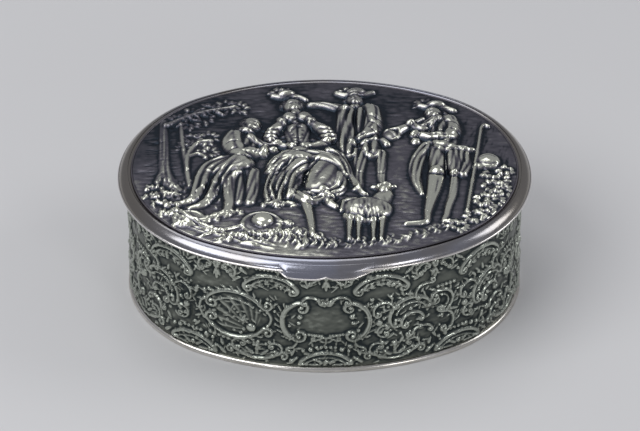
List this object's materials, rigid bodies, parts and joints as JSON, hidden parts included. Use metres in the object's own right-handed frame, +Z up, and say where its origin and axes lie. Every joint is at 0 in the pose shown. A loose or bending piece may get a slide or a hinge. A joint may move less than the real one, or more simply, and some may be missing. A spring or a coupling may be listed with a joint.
{
  "type": "repousse silver box",
  "caption": "Oval silver table box with a hinged lid, an embossed country scene on the lid, embossed scrollwork round the wall and a blank cartouche in front.",
  "frame": {"origin": "middle of the underside of the base plate, on the surface that the box stands on", "axes": "+X along the length of the oval, to the right seen from the front; +Y towards the back, where the hinge is; +Z up"},
  "size_m": [0.1506, 0.1198, 0.0551],
  "materials": {
    "oxidised_silver": "embossed silver, oxidised dark in its hollows and rubbed bright on its high parts",
    "polished_silver": "polished silver with fine wear",
    "plain_silver": "plain silver sheet, softly worn",
    "hinge_silver": "drawn silver tube and wire, slightly tarnished"
  },
  "bodies": {
    "box": {"base_plate": "plain_silver", "foot_wire": "polished_silver", "embossed_wall": "oxidised_silver", "inner_wall": "plain_silver", "top_edge_wire": "polished_silver", "box_hinge_plate": "plain_silver", "box_knuckle_left": "hinge_silver", "box_knuckle_middle": "hinge_silver", "box_knuckle_right": "hinge_silver", "hinge_pin": "hinge_silver"},
    "lid": {"lid_panel": "oxidised_silver", "panel_wire": "polished_silver", "lid_rim": "polished_silver", "lid_flange": "plain_silver", "lid_edge_wire": "polished_silver", "thumb_lip": "polished_silver", "lid_hinge_plate": "plain_silver", "lid_knuckle_left": "hinge_silver", "lid_knuckle_right": "hinge_silver"}
  },
  "joints": [
    {"name": "lid_hinge", "type": "hinge", "parent": "box", "child": "lid", "pos_m": [0, 0.0572, 0.0451], "axis": [-1, 0, 0], "range_deg": [0, 100]}
  ]
}
